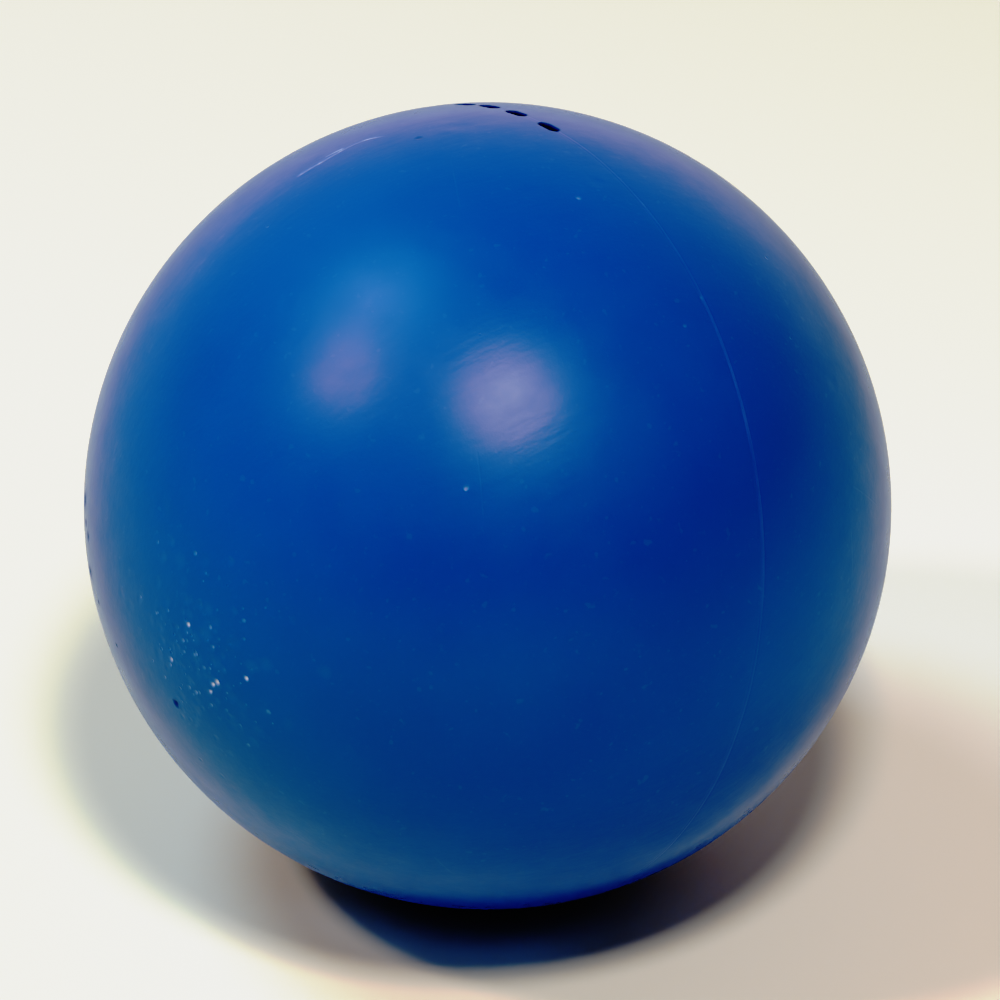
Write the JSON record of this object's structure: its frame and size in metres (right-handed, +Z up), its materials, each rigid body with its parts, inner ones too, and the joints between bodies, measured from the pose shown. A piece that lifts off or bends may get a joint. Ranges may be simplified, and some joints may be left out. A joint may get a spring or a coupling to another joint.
{
  "type": "croquet ball",
  "caption": "Satin blue composite croquet ball: solid core inside two bonded half covers, with a flush seam line round a great circle and short recessed dashes along it.",
  "frame": {"origin": "centre of the ball", "axes": "+Z up as the ball lies on the ground, -Y towards the viewer; the seam's pole points to -X, -Y and up"},
  "size_m": [0.092, 0.092, 0.092],
  "materials": {
    "cover_blue": "satin moulded plastic, lightly scuffed by play",
    "seam_adhesive": "cured adhesive trimmed flush, a slightly paler blue than the covers",
    "bonding_coat": "brushed-on amber resin coat",
    "core_composite": "pressed cork and rubber granules in a binder, matt and speckled"
  },
  "bodies": {
    "root": {"cover_tongue_half": "cover_blue", "cover_groove_half": "cover_blue", "seam_bond": "seam_adhesive", "core_bond": "bonding_coat", "core": "core_composite"}
  },
  "joints": []
}
